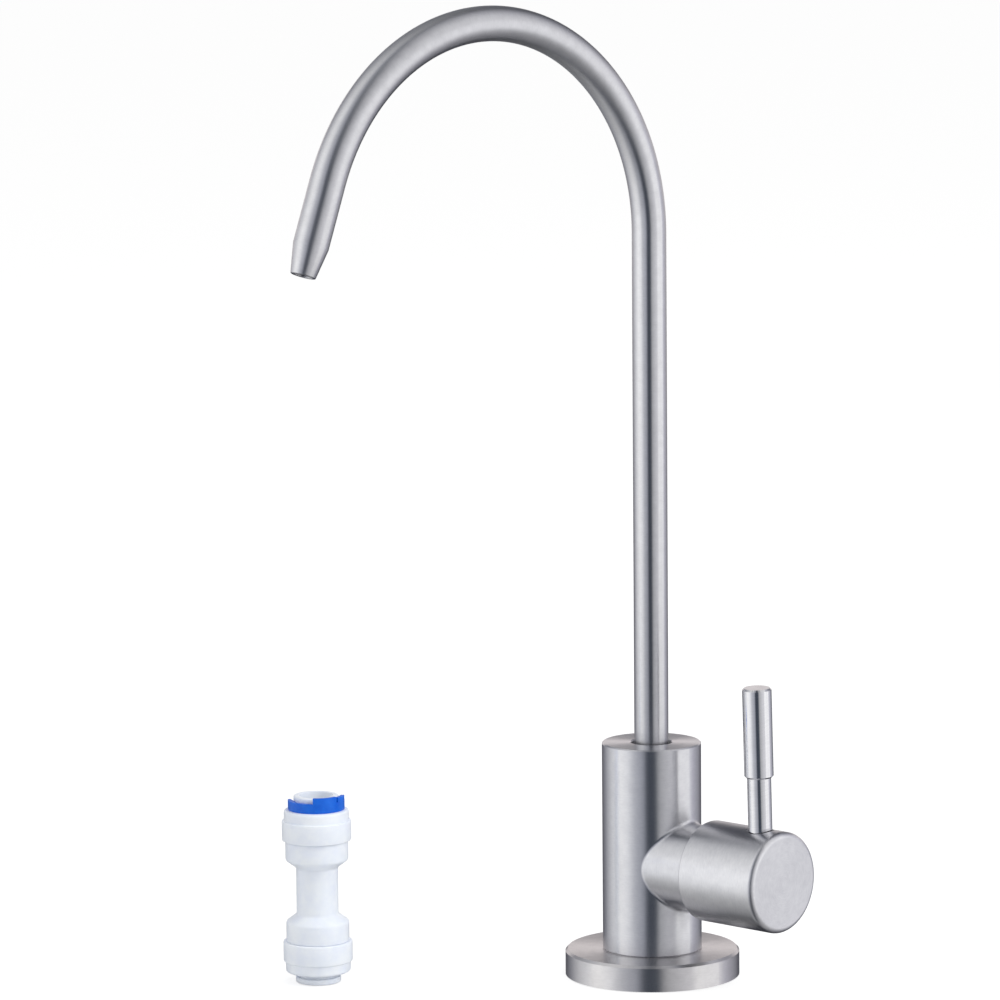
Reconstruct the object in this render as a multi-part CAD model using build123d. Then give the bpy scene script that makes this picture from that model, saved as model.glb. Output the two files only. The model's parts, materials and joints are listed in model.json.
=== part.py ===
from build123d import *
import os
from math import cos, radians, sin

# Drinking water filter tap, in millimetres. The origin is the centre of the base flange's underside.
# +Z is up, +X runs along the side valve towards its cap, and the spout points towards -Y.

# Body and base flange
body_diameter = 28.4
body_top_chamfer = 0.35
body_foot_chamfer = 0.4
flange_diameter = 50.0
flange_thickness = 7.4
flange_edge_chamfer = 0.7
flange_seal_inset = 3.0  # the seal's groove lies this far inside the flange's edge
flange_seal_width = 3.0
flange_seal_height = 2.0

# Side valve: neck, chamber and cap
valve_rise = 25.5  # height of the valve's axis above the flange
neck_inset = 1.8  # the neck is this much smaller in radius than the body
neck_length = 7.7  # bare neck between the body and the cap
neck_fillet = 1.2
chamber_floor = 3.0  # distance of the chamber's inner end from the body's axis
barrel_water_gap = 1.5  # the water's way round the cartridge's barrel
cap_wall = 1.65  # cap's wall round the end of the neck
cap_length = 27.0
cap_overlap = 2.2  # how far the cap's rim reaches over the end of the neck
cap_front_rounding = 1.6
cap_rear_rounding = 0.6
cap_front_wall = 4.2

# Spout
tube_diameter = 9.76
tube_wall = 0.9
spout_rise = 146.0  # straight tube above the body's top
bend_radius = 61.3
bend_angle = 159.7
outlet_straight = 17.6
outlet_taper = 8.4
outlet_diameter = 6.9
outlet_rounding = 0.25
spout_azimuth = -95.3

# Spout socket and the ferrule that turns in it
ferrule_wall = 0.94  # ferrule's wall round the foot of the tube
socket_web = 4.4  # metal between the valve chamber and the socket's floor, which sets the body's height
socket_mouth_chamfer = 0.3
ferrule_recess = 4.0  # ferrule's top below the body's top
ferrule_floor_gap = 0.3
ferrule_bore_wall = 1.12  # metal between the ferrule's bore and its seals' grooves
ferrule_shelf = 0.8  # metal between the slide ring's groove and the foot of the tube
tube_seat_depth = 4.8
groove_spacing = 1.2
spout_oring_section = 1.6
snap_ring_width = 1.0
snap_ring_thickness = 1.4  # radial size of the ring's wire
snap_ring_reach = 0.6  # how far the ring stands out into the socket's groove
snap_ring_gap_angle = 50.0
slide_ring_width = 2.2
slide_ring_depth = 0.6

# Water passages in the body
inlet_passage_diameter = 5.0
inlet_wall = 2.0  # wall between the inlet passage and the chamber
outlet_passage_diameter = 3.0
outlet_passage_margin = 0.3

# Quarter-turn ceramic cartridge
seat_thickness = 2.0
seat_margin = 0.1  # the seat's bore is this much larger in radius than the disc's ports
seat_lead = 0.8  # how far the seat stands out of the housing
disc_diameter = 11.0
disc_thickness = 3.0
disc_port_inner_radius = 1.2
disc_port_margin = 1.3  # ceramic left between the ports and the disc's edge
disc_port_angle = 70.0
disc_lug_width = 2.4
disc_lug_height = 0.8
barrel_wall = 1.1
window_width = 5.0
driver_thickness = 2.5
driver_width = 6.0
tongue_width = 2.4
tongue_depth = 1.4
stem_diameter = 8.0
stem_oring_section = 1.5
stem_oring_spacing = 3.0
collar_setback = 1.0  # the collar starts this far behind the shoulder inside the housing
collar_wall = 0.93  # metal on each side of the collar's seal
housing_oring_section = 1.8
thread_step = 0.8  # the neck's thread is this much larger in radius than the chamber
head_inset = 0.73  # the hexagonal head's corners lie this far inside the neck's radius
head_thickness = 3.8
nose_wall = 1.65
nose_length = 2.4
stop_washer_thickness = 1.0
stop_tab_angle = 40.0
stop_play_angle = 2.0
stem_flats = 7.0
clip_ring_thickness = 0.8
clip_ring_depth = 0.6
clip_ring_width = 1.4
clip_ring_gap_angle = 60.0
spline_teeth = 20
spline_depth = 0.4

# Handle
quarter_turn = 90.0
lever_lean = 2.06  # how far the lever leans from its closed stop at rest
hub_wall = 3.0
hub_rear_gap = 0.4
lever_setback = 8.1  # distance of the lever from the cap's front face
pin_diameter = 6.8
pin_floor_wall = 1.2  # metal left between the pin's hole and the hub
pin_hole_gap = 0.5  # the hole is wider round the pin's foot
pin_hole_gap_depth = 1.2
sleeve_wall = 0.7
sleeve_length = 25.6
sleeve_rise = 15.1  # bare pin between the cap's surface and the sleeve
sleeve_end_wall = 5.6
sleeve_chamfer = 0.5
handle_screw_diameter = 4.0
handle_screw_recess = 3.75  # the screw's lower end lies this far inside the cap's surface
handle_screw_setback = 3.3  # distance of the screw from the hub's rear face
hex_key_across_flats = 2.0
hex_key_depth = 2.2

# Shank and the pieces that clamp the tap to the worktop
shank_diameter = 12.0
shank_bore_diameter = 6.4
shank_web = 5.6  # metal between the shank's hole and the valve chamber
thread_pitch = 1.5
thread_depth = 0.8
thread_run_below_nut = 9.0
worktop_gap = 30.0
gasket_diameter = 32.0
gasket_thickness = 3.0
washer_thickness = 1.5
nut_across_flats = 19.0
nut_thickness = 8.0
nut_chamfer = 0.8
inlet_stub_diameter = 9.53
inlet_stub_length = 20.0
inlet_stub_chamfer = 0.8

# Loose push-fit connector for the inlet tube, standing beside the tap
connector_x = -65.9
connector_y = -70.0
connector_azimuth = -26.0  # direction in which the clip pulls off
union_neck_diameter = 12.0
union_neck_half = 6.75
union_neck_taper = 2.2
union_end_step = 0.8  # the union's ends stand out this far round the spigots
union_end_rounding = 1.0
spigot_wall = 1.3
spigot_rise = 3.5  # the spigot starts this far past the end of the tube's socket
spigot_length = 3.6
union_web_half = 2.5
union_web_bore_diameter = 6.8
tube_socket_depth = 8.6
tube_socket_clearance = 0.08
union_oring_section = 1.9
union_oring_gap = 0.155  # room round the tube's seal
end_cap_wall = 1.67
end_cap_band_width = 5.9
end_cap_step = 0.6  # the band stands out this far from the collar beyond it
end_cap_reach = 5.4  # how far the end cap reaches past the spigot
end_cap_rounding = 0.8
end_cap_lip = 1.8
collet_wall = 0.775
collet_flange_reach = 0.8
collet_flange_thickness = 1.6
collet_flange_rounding = 0.3
collet_barb_length = 1.6
collet_barb_gap = 0.54  # play between the locked collet's barb and the end cap's inner cone
collet_press_gap = 1.4  # gap under the free collet's flange
collet_slot_width = 1.0
collet_slot_length = 4.4
collet_slots = 4
grab_ring_place = 0.8  # distance of the steel ring from the collet's inner end
grab_ring_depth = 0.45
grab_ring_thickness = 0.5
spacer_thickness = 1.4
clip_base_thickness = 2.4
clip_rim_gap = 0.55  # room between the clip's rim and the collet's flange
clip_rim_width = 1.1
clip_rim_height = 0.3
clip_tab_height = 2.0
clip_tab_angle = 50.0
clip_lug_angle = 34.0
clip_lug_offset_angle = 47.0
clip_lug_height = 1.7

# Clearances, and one overrun for every cut
turning_clearance = 0.05
assembly_clearance = 0.03
free_clearance = 0.35
disc_clearance = 0.3
thrust_gap = 0.2
overrun = 1.0

# Levels and places that follow
body_radius = body_diameter / 2
flange_radius = flange_diameter / 2
valve_level = flange_thickness + valve_rise
neck_radius = body_radius - neck_inset
cap_cavity_radius = neck_radius + free_clearance
cap_radius = cap_cavity_radius + cap_wall
cap_start = body_radius + neck_length
cap_end = cap_start + cap_length
neck_end = cap_start + cap_overlap
disc_radius = disc_diameter / 2
barrel_inner = disc_radius + disc_clearance
barrel_outer = barrel_inner + barrel_wall
chamber_radius = barrel_outer + barrel_water_gap
tube_radius = tube_diameter / 2
tube_seat_radius = tube_radius + assembly_clearance
ferrule_radius = tube_seat_radius + ferrule_wall
socket_radius = ferrule_radius + turning_clearance
shank_radius = shank_diameter / 2
shank_hole_radius = shank_radius + assembly_clearance
shank_top = valve_level - chamber_radius - shank_web

# The ferrule's grooves and the tube's foot, from the socket's floor up to the body's top
oring_groove_width = spout_oring_section + free_clearance
socket_floor = valve_level + chamber_radius + socket_web
ferrule_bottom = socket_floor + ferrule_floor_gap
snap_groove_bottom = ferrule_bottom + 3 * groove_spacing + 2 * oring_groove_width
slide_groove_bottom = snap_groove_bottom + snap_ring_width + groove_spacing
slide_groove_top = slide_groove_bottom + slide_ring_width
tube_foot = slide_groove_top + ferrule_shelf
ferrule_top = tube_foot + tube_seat_depth
body_top = ferrule_top + ferrule_recess


# Turned pieces: an outline of (distance along the axis, radius) is revolved about the upright axis
def turned_upright(points):
    outline = Polyline([(radius, 0, level) for level, radius in points], close=True)
    return revolve(make_face(outline), Axis.Z)


# The same about the valve's axis
def turned_level(points):
    outline = Polyline([(along, 0, radius) for along, radius in points], close=True)
    return Pos(0, 0, valve_level) * revolve(make_face(outline), Axis.X)


# A plain ring or disc between two stations of either axis
def ring_upright(bottom, top, outer, inner=0):
    return turned_upright([(bottom, inner), (bottom, outer), (top, outer), (top, inner)])


def ring_level(start, end, outer, inner=0):
    return turned_level([(start, inner), (start, outer), (end, outer), (end, inner)])


# Rubber ring of round section that lies in a groove, its outer side at a given radius
def oring_upright(level, outer, section):
    round_section = Pos(outer - section / 2, 0, level) * (Plane.XZ * Circle(section / 2))
    return revolve(round_section, Axis.Z)


def oring_level(station, outer, section):
    round_section = Pos(station, 0, outer - section / 2) * (Plane.XZ * Circle(section / 2))
    return Pos(0, 0, valve_level) * revolve(round_section, Axis.X)


# Pie slice as a flat face, centred on an angle, used to cut sectors out of rings
def slice_face(reach, middle_angle, whole_angle):
    corners = [(0, 0)]
    for share in (-1 / 2, -1 / 4, 0, 1 / 4, 1 / 2):
        angle = radians(middle_angle + share * whole_angle)
        corners.append((2 * reach * cos(angle), 2 * reach * sin(angle)))
    return make_face(Polyline(corners, close=True))


# Plane across the valve's axis at a station: its x points up and its z along +X
def valve_plane(station):
    return Plane(origin=(station, 0, valve_level), x_dir=(0, 0, 1), z_dir=(1, 0, 0))


# Body shell: outer shape
body_blank = turned_upright(
    [
        (flange_thickness, 0),
        (flange_thickness, body_radius - body_foot_chamfer),
        (flange_thickness + body_foot_chamfer, body_radius),
        (body_top - body_top_chamfer, body_radius),
        (body_top, body_radius - body_top_chamfer),
        (body_top, 0),
    ]
)
neck_blank = ring_level(0, neck_end, neck_radius)
body_blank = body_blank + neck_blank
saddle_edges = [
    edge
    for edge in body_blank.edges()
    if edge.geom_type not in (GeomType.LINE, GeomType.CIRCLE) and edge.center().X > 0
]
body_blank = fillet(saddle_edges, neck_fillet)

# Body shell: spout socket with the snap ring's groove
snap_groove_top = snap_groove_bottom + snap_ring_width
spout_socket = turned_upright(
    [
        (socket_floor, 0),
        (socket_floor, socket_radius),
        (snap_groove_bottom - free_clearance, socket_radius),
        (snap_groove_bottom - free_clearance, socket_radius + snap_ring_reach + free_clearance),
        (snap_groove_top + free_clearance, socket_radius + snap_ring_reach + free_clearance),
        (snap_groove_top + free_clearance, socket_radius),
        (body_top - socket_mouth_chamfer, socket_radius),
        (body_top, socket_radius + socket_mouth_chamfer),
        (body_top + overrun, socket_radius + socket_mouth_chamfer),
        (body_top + overrun, 0),
    ]
)

# Body shell: valve chamber, stepped out to the thread in the neck
housing_start = chamber_floor + seat_lead
fixed_disc_start = chamber_floor + seat_thickness
moving_disc_start = fixed_disc_start + disc_thickness
driver_start = moving_disc_start + disc_thickness
driver_end = driver_start + driver_thickness
shoulder_start = driver_end + thrust_gap
collar_start = shoulder_start + collar_setback
collar_end = collar_start + housing_oring_section + free_clearance + 2 * collar_wall
thread_radius = chamber_radius + thread_step
valve_chamber = turned_level(
    [
        (chamber_floor, 0),
        (chamber_floor, chamber_radius),
        (collar_end, chamber_radius),
        (collar_end + assembly_clearance, thread_radius),
        (neck_end + overrun, thread_radius),
        (neck_end + overrun, 0),
    ]
)

# Body shell: water passages and the shank's threaded hole
inlet_radius = inlet_passage_diameter / 2
inlet_x = chamber_floor - inlet_wall - inlet_radius
inlet_rise = Pos(inlet_x, 0, 0) * ring_upright(
    shank_top - overrun, valve_level + inlet_radius, inlet_radius
)
inlet_port = ring_level(inlet_x, chamber_floor + overrun, inlet_radius)
outlet_passage_radius = outlet_passage_diameter / 2
outlet_x = socket_radius - outlet_passage_radius - outlet_passage_margin
outlet_rise = Pos(outlet_x, 0, 0) * ring_upright(
    valve_level + chamber_radius / 2, socket_floor + overrun, outlet_passage_radius
)
shank_hole = ring_upright(flange_thickness - overrun, shank_top, shank_hole_radius)
body_shell = body_blank - spout_socket - valve_chamber - inlet_rise - inlet_port
body_shell = body_shell - outlet_rise - shank_hole

# Base flange with the groove of its seal
seal_groove_outer = flange_radius - flange_seal_inset
seal_groove_inner = seal_groove_outer - flange_seal_width
base_flange = turned_upright(
    [
        (0, shank_hole_radius),
        (0, flange_radius),
        (flange_thickness - flange_edge_chamfer, flange_radius),
        (flange_thickness, flange_radius - flange_edge_chamfer),
        (flange_thickness, shank_hole_radius),
    ]
)
base_flange = base_flange - ring_upright(
    -overrun, flange_seal_height, seal_groove_outer, seal_groove_inner
)
flange_seal = ring_upright(
    0,
    flange_seal_height - assembly_clearance,
    seal_groove_outer - assembly_clearance,
    seal_groove_inner + assembly_clearance,
)

# Threaded shank: each turn of the thread is one closed ridge
gasket_top = -worktop_gap
nut_bottom = gasket_top - gasket_thickness - washer_thickness - nut_thickness
thread_bottom = nut_bottom - thread_run_below_nut
stub_bottom = thread_bottom - inlet_stub_length
shank_tip = shank_top - thrust_gap
stub_radius = inlet_stub_diameter / 2
shank_bore_radius = shank_bore_diameter / 2
ridge_count = int((shank_tip - thread_bottom) / thread_pitch)
ridge_pitch = (shank_tip - thread_bottom) / ridge_count
shank_outline = [
    (stub_bottom, shank_bore_radius),
    (stub_bottom, stub_radius - inlet_stub_chamfer),
    (stub_bottom + inlet_stub_chamfer, stub_radius),
    (thread_bottom, stub_radius),
]
for ridge in range(ridge_count):
    foot = thread_bottom + ridge * ridge_pitch
    shank_outline.append((foot, shank_radius - thread_depth))
    shank_outline.append((foot + ridge_pitch * 3 / 8, shank_radius))
    shank_outline.append((foot + ridge_pitch * 5 / 8, shank_radius))
shank_outline.append((shank_tip, shank_radius - thread_depth))
shank_outline.append((shank_tip, shank_bore_radius))
threaded_shank = turned_upright(shank_outline)

# Gasket, washer and nut under the worktop
gasket_radius = gasket_diameter / 2
gasket_bottom = gasket_top - gasket_thickness
washer_bottom = gasket_bottom - washer_thickness
deck_gasket = ring_upright(gasket_bottom, gasket_top, gasket_radius, shank_hole_radius)
deck_washer = ring_upright(washer_bottom, gasket_bottom, gasket_radius, shank_hole_radius)
nut_hex = Pos(0, 0, nut_bottom) * extrude(
    RegularPolygon(nut_across_flats / 2, 6, major_radius=False), nut_thickness
)
nut_corner_radius = nut_across_flats / 2 / cos(radians(30))
nut_turning = turned_upright(
    [
        (nut_bottom, shank_hole_radius),
        (nut_bottom, nut_corner_radius - nut_chamfer),
        (nut_bottom + nut_chamfer / 2, nut_corner_radius),
        (washer_bottom, nut_corner_radius),
        (washer_bottom, shank_hole_radius),
    ]
)
mounting_nut = nut_hex & nut_turning

# Spout tube: a straight riser, the bend, the straight end and the tapered outlet
bend_start = body_top + spout_rise


def bend_point(angle):
    turn = radians(angle)
    return (bend_radius * (1 - cos(turn)), 0, bend_start + bend_radius * sin(turn))


bend_end = Vector(*bend_point(bend_angle))
outlet_direction = Vector(sin(radians(bend_angle)), 0, cos(radians(bend_angle)))
taper_start = bend_end + outlet_direction * outlet_straight
spout_line = Line((0, 0, tube_foot), (0, 0, bend_start))
spout_line += ThreePointArc((0, 0, bend_start), bend_point(bend_angle / 2), bend_end)
spout_line += Line(bend_end, taper_start)
taper_plane = Plane(origin=taper_start, x_dir=(0, 1, 0), z_dir=outlet_direction)
outlet_radius = outlet_diameter / 2


def spout_solid(main_radius, end_radius):
    run = sweep(Plane.XY.offset(tube_foot) * Circle(main_radius), path=spout_line)
    taper = Cone(main_radius, end_radius, outlet_taper, align=(Align.CENTER, Align.CENTER, Align.MIN))
    return run + taper_plane * taper


spout_outer = spout_solid(tube_radius, outlet_radius)
outlet_rim = spout_outer.edges().filter_by(GeomType.CIRCLE).sort_by_distance(
    taper_start + outlet_direction * outlet_taper
)[0]
spout_outer = fillet(outlet_rim, outlet_rounding)
spout_inner = spout_solid(tube_radius - tube_wall, outlet_radius - tube_wall)
to_spout = Rot(0, 0, spout_azimuth)
spout_tube = to_spout * (spout_outer - spout_inner)

# Ferrule brazed on the foot of the tube, with grooves for two seals, the snap ring and the slide ring
oring_groove_root = ferrule_radius - spout_oring_section - assembly_clearance
ferrule_bore_radius = oring_groove_root - ferrule_bore_wall
snap_groove_root = ferrule_radius + snap_ring_reach - snap_ring_thickness - assembly_clearance
spout_ferrule = turned_upright(
    [
        (ferrule_bottom, ferrule_bore_radius),
        (ferrule_bottom, ferrule_radius),
        (ferrule_top, ferrule_radius),
        (ferrule_top, tube_seat_radius),
        (tube_foot - assembly_clearance, tube_seat_radius),
        (tube_foot - assembly_clearance, ferrule_bore_radius),
    ]
)
oring_levels = [
    ferrule_bottom + groove_spacing + oring_groove_width / 2,
    ferrule_bottom + 2 * groove_spacing + oring_groove_width * 3 / 2,
]
for level in oring_levels:
    spout_ferrule = spout_ferrule - ring_upright(
        level - oring_groove_width / 2,
        level + oring_groove_width / 2,
        ferrule_radius + overrun,
        oring_groove_root,
    )
spout_ferrule = spout_ferrule - ring_upright(
    snap_groove_bottom - assembly_clearance,
    snap_groove_top + assembly_clearance,
    ferrule_radius + overrun,
    snap_groove_root,
)
spout_ferrule = spout_ferrule - ring_upright(
    slide_groove_bottom, slide_groove_top, ferrule_radius + overrun, ferrule_radius - slide_ring_depth
)
spout_orings = Compound(
    [oring_upright(level, ferrule_radius, spout_oring_section).solid() for level in oring_levels]
)
snap_ring = ring_upright(
    snap_groove_bottom,
    snap_groove_top,
    ferrule_radius + snap_ring_reach,
    snap_groove_root + assembly_clearance,
)
snap_gap = Pos(0, 0, snap_groove_bottom - overrun) * extrude(
    slice_face(socket_radius, 0, snap_ring_gap_angle), snap_ring_width + 2 * overrun
)
spout_snap_ring = to_spout * (snap_ring - snap_gap)
spout_slide_ring = ring_upright(
    slide_groove_bottom + assembly_clearance,
    slide_groove_top - assembly_clearance,
    ferrule_radius,
    ferrule_radius - slide_ring_depth + assembly_clearance,
)

# Cartridge housing: barrel, collar with its seal, thread, hexagonal head and the nose with the stop
collar_radius = chamber_radius - assembly_clearance
stem_radius = stem_diameter / 2
stem_bore = stem_radius + turning_clearance
head_end = neck_end + head_thickness
nose_end = head_end + nose_length
nose_radius = stem_bore + nose_wall
housing_thread_radius = thread_radius - assembly_clearance
cartridge_housing = turned_level(
    [
        (housing_start, barrel_inner),
        (housing_start, barrel_outer),
        (collar_start, barrel_outer),
        (collar_start, collar_radius),
        (collar_end + 2 * assembly_clearance, collar_radius),
        (collar_end + 2 * assembly_clearance, housing_thread_radius),
        (neck_end, housing_thread_radius),
        (neck_end, nose_radius),
        (nose_end, nose_radius),
        (nose_end, stem_bore),
        (shoulder_start, stem_bore),
        (shoulder_start, barrel_inner),
    ]
)
head_hex = valve_plane(neck_end) * extrude(
    RegularPolygon(neck_radius - head_inset, 6), head_thickness
)
cartridge_housing = cartridge_housing + (head_hex - ring_level(0, cap_end, stem_bore))
collar_middle = (collar_start + collar_end) / 2
housing_groove_half = (housing_oring_section + free_clearance) / 2
housing_groove_root = collar_radius - housing_oring_section
cartridge_housing = cartridge_housing - ring_level(
    collar_middle - housing_groove_half,
    collar_middle + housing_groove_half,
    thread_radius,
    housing_groove_root,
)
window = Box(driver_thickness, window_width, 4 * barrel_outer)
cartridge_housing = cartridge_housing - Pos(
    driver_start + driver_thickness / 2, 0, valve_level
) * window
lug_slot_length = fixed_disc_start + disc_thickness - housing_start
lug_slot = Box(
    2 * lug_slot_length,
    2 * (disc_radius + disc_lug_height + assembly_clearance),
    disc_lug_width + 2 * assembly_clearance,
)
cartridge_housing = cartridge_housing - Pos(housing_start, 0, valve_level) * lug_slot
cartridge_oring = oring_level(
    collar_middle, collar_radius - assembly_clearance, housing_oring_section - 2 * assembly_clearance
)

# The stop: a sector cut out of the nose, as wide as the washer's tab, the quarter turn and a little play
stop_sector_angle = quarter_turn + stop_tab_angle + 2 * stop_play_angle
stop_sector = valve_plane(head_end) * extrude(
    slice_face(nose_radius, quarter_turn / 2, stop_sector_angle), nose_length + overrun
)
cartridge_housing = cartridge_housing - stop_sector


# Ceramic discs: two ports in each, a quarter turn apart when the tap is closed
disc_port_outer_radius = disc_radius - disc_port_margin


def ceramic_disc(start, port_angle):
    disc = Circle(disc_radius)
    port_ring = Circle(disc_port_outer_radius) - Circle(disc_port_inner_radius)
    for side_angle in (0, 180):
        port = port_ring & slice_face(disc_radius, port_angle + side_angle, disc_port_angle)
        disc = disc - port
    return valve_plane(start) * extrude(disc, disc_thickness)


fixed_disc_lugs = Box(
    disc_thickness, 2 * (disc_radius + disc_lug_height), disc_lug_width
) - Box(disc_thickness, disc_diameter - disc_lug_height, disc_lug_width)
fixed_disc = ceramic_disc(fixed_disc_start, quarter_turn) + Pos(
    fixed_disc_start + disc_thickness / 2, 0, valve_level
) * fixed_disc_lugs
seat_seal = ring_level(
    chamber_floor,
    fixed_disc_start,
    barrel_inner - assembly_clearance,
    disc_port_outer_radius + seat_margin,
)


# The handle and what turns with it are drawn with the lever upright, then leaned about the valve's axis
def lean(piece):
    return Pos(0, 0, valve_level) * Rot(lever_lean, 0, 0) * Pos(0, 0, -valve_level) * piece


# Moving disc with a slot across its back for the spindle's tongue
tongue_slot = Pos(
    driver_start - tongue_depth / 2, 0, valve_level
) * Box(tongue_depth, disc_diameter, tongue_width)
moving_disc = lean(ceramic_disc(moving_disc_start, 0) - tongue_slot)

# Spindle: driver with its tongue, stem with two seals, flats for the stop washer, clip groove and spline
washer_start = nose_end + turning_clearance
washer_end = washer_start + stop_washer_thickness
clip_start = washer_end + assembly_clearance
clip_end = clip_start + clip_ring_thickness
hub_start = clip_end + hub_rear_gap
hub_end = cap_end - cap_front_wall
spindle_end = hub_end - thrust_gap
stem_oring_root = stem_radius - stem_oring_section
stem_groove_half = (stem_oring_section + free_clearance) / 2
stem_oring_stations = [shoulder_start + turn * stem_oring_spacing for turn in (1, 2)]


def spline_face(root, tip):
    points = []
    pitch_angle = 360 / spline_teeth
    for tooth in range(spline_teeth):
        for radius, share in ((root, -1 / 4), (tip, -1 / 8), (tip, 1 / 8), (root, 1 / 4)):
            angle = radians(pitch_angle * (tooth + share))
            points.append((radius * cos(angle), radius * sin(angle)))
    return make_face(Polyline(points, close=True))


driver_bar = Box(driver_thickness, disc_diameter, driver_width)
driver = ring_level(driver_start, driver_end, disc_radius) & (
    Pos(driver_start + driver_thickness / 2, 0, valve_level) * driver_bar
)
tongue_bar = Box(
    tongue_depth - assembly_clearance, disc_diameter, tongue_width - 2 * assembly_clearance
)
tongue = ring_level(moving_disc_start, driver_start, disc_radius - assembly_clearance) & (
    Pos(driver_start - (tongue_depth - assembly_clearance) / 2, 0, valve_level) * tongue_bar
)
stem = ring_level(driver_end, clip_end, stem_radius)
for station in stem_oring_stations:
    stem = stem - ring_level(
        station - stem_groove_half, station + stem_groove_half, stem_radius + overrun, stem_oring_root
    )
stem = stem - ring_level(
    clip_start - assembly_clearance,
    clip_end,
    stem_radius + overrun,
    stem_radius - clip_ring_depth,
)
flats_block = Box(
    washer_end - nose_end + assembly_clearance, stem_flats, stem_diameter + overrun
)
flats_place = Pos((washer_end + assembly_clearance + nose_end) / 2, 0, valve_level)
flats_ring = ring_level(nose_end, washer_end + assembly_clearance, stem_radius + overrun)
stem = stem - (flats_ring - flats_place * flats_block)
spline = valve_plane(clip_end) * extrude(
    spline_face(stem_radius - spline_depth, stem_radius), spindle_end - clip_end
)
valve_spindle = lean(driver + tongue + stem + spline)
spindle_orings = Compound(
    [oring_level(station, stem_radius, stem_oring_section).solid() for station in stem_oring_stations]
)

# Stop washer keyed on the spindle's flats, its tab standing in the nose's sector
washer_bore = ring_level(washer_start - overrun, washer_end + overrun, stem_radius + assembly_clearance)
washer_key = Pos(washer_start, 0, valve_level) * Box(
    4 * stop_washer_thickness, stem_flats + 2 * assembly_clearance, stem_diameter + overrun
)
tab_ring = Circle(nose_radius - thrust_gap) - Circle(stem_bore + thrust_gap)
tab_face = tab_ring & slice_face(nose_radius, 0, stop_tab_angle)
stop_tab = valve_plane(head_end + thrust_gap) * extrude(tab_face, washer_start - head_end)
stop_washer = ring_level(washer_start, washer_end, nose_radius) - (washer_bore & washer_key)
stop_washer = lean(stop_washer + stop_tab)

# Retaining ring on the spindle, open on one side
clip_inner = stem_radius - clip_ring_depth + assembly_clearance
clip_ring = ring_level(clip_start, clip_end - assembly_clearance, clip_inner + clip_ring_width, clip_inner)
clip_gap = valve_plane(clip_start - overrun) * extrude(
    slice_face(nose_radius, 180, clip_ring_gap_angle), clip_ring_thickness + 2 * overrun
)
spindle_clip = lean(clip_ring - clip_gap)

# Handle cap: a turned cup with the hub's bore, the lever's hole on top and the screw's hole below
hub_radius = stem_radius + hub_wall
cap_outline = [
    (cap_start, cap_cavity_radius),
    (cap_start, cap_radius),
    (cap_end, cap_radius),
    (cap_end, 0),
    (hub_end, 0),
    (hub_end, hub_radius),
    (hub_start, hub_radius),
    (hub_start, cap_cavity_radius),
]
cap_blank = turned_level(cap_outline)
cap_front_edge = cap_blank.edges().filter_by(GeomType.CIRCLE).sort_by(Axis.X)[-1]
cap_blank = fillet(cap_front_edge, cap_front_rounding)
cap_rear_edges = cap_blank.edges().filter_by(GeomType.CIRCLE).filter_by_position(
    Axis.X, cap_start, cap_start
)
cap_blank = fillet(cap_rear_edges.sort_by(SortBy.RADIUS)[-1], cap_rear_rounding)
lever_x = cap_end - lever_setback
pin_radius = pin_diameter / 2
pin_foot = valve_level + hub_radius + pin_floor_wall
cap_crown = valve_level + cap_radius
lever_hole = Pos(lever_x, 0, 0) * turned_upright(
    [
        (pin_foot, 0),
        (pin_foot, pin_radius + assembly_clearance),
        (cap_crown - pin_hole_gap_depth, pin_radius + assembly_clearance),
        (cap_crown - pin_hole_gap_depth, pin_radius + pin_hole_gap),
        (cap_crown + overrun, pin_radius + pin_hole_gap),
        (cap_crown + overrun, 0),
    ]
)
screw_x = hub_start + handle_screw_setback
screw_radius = handle_screw_diameter / 2
screw_top = valve_level - stem_radius - turning_clearance
screw_bottom = valve_level - cap_radius + handle_screw_recess
screw_hole = Pos(screw_x, 0, 0) * ring_upright(
    valve_level - cap_radius - overrun, valve_level, screw_radius + assembly_clearance
)
handle_cap = lean(cap_blank - lever_hole - screw_hole)

# Hub, grub screw, lever pin and lever sleeve
spline_bore = valve_plane(hub_start - overrun) * extrude(
    spline_face(
        stem_radius - spline_depth + assembly_clearance, stem_radius + assembly_clearance
    ),
    hub_end - hub_start + 2 * overrun,
)
hub_blank = ring_level(hub_start, hub_end, hub_radius - assembly_clearance)
handle_hub = lean(hub_blank - spline_bore - screw_hole)
hex_key = Pos(0, 0, screw_bottom) * extrude(
    RegularPolygon(hex_key_across_flats / 2, 6, major_radius=False), hex_key_depth
)
grub_screw = ring_upright(screw_bottom, screw_top, screw_radius) - hex_key
handle_screw = lean(Pos(screw_x, 0, 0) * grub_screw)
sleeve_bottom = cap_crown + sleeve_rise
sleeve_top = sleeve_bottom + sleeve_length
sleeve_radius = pin_radius + assembly_clearance + sleeve_wall
pin_top = sleeve_top - sleeve_end_wall
pin = ring_upright(pin_foot + assembly_clearance, pin_top - assembly_clearance, pin_radius)
lever_pin = lean(Pos(lever_x, 0, 0) * pin)
sleeve = turned_upright(
    [
        (sleeve_bottom, pin_radius + assembly_clearance),
        (sleeve_bottom, sleeve_radius - sleeve_chamfer),
        (sleeve_bottom + sleeve_chamfer, sleeve_radius),
        (sleeve_top - sleeve_chamfer, sleeve_radius),
        (sleeve_top, sleeve_radius - sleeve_chamfer),
        (sleeve_top, 0),
        (pin_top, 0),
        (pin_top, pin_radius + assembly_clearance),
    ]
)
lever_sleeve = lean(Pos(lever_x, 0, 0) * sleeve)

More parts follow.
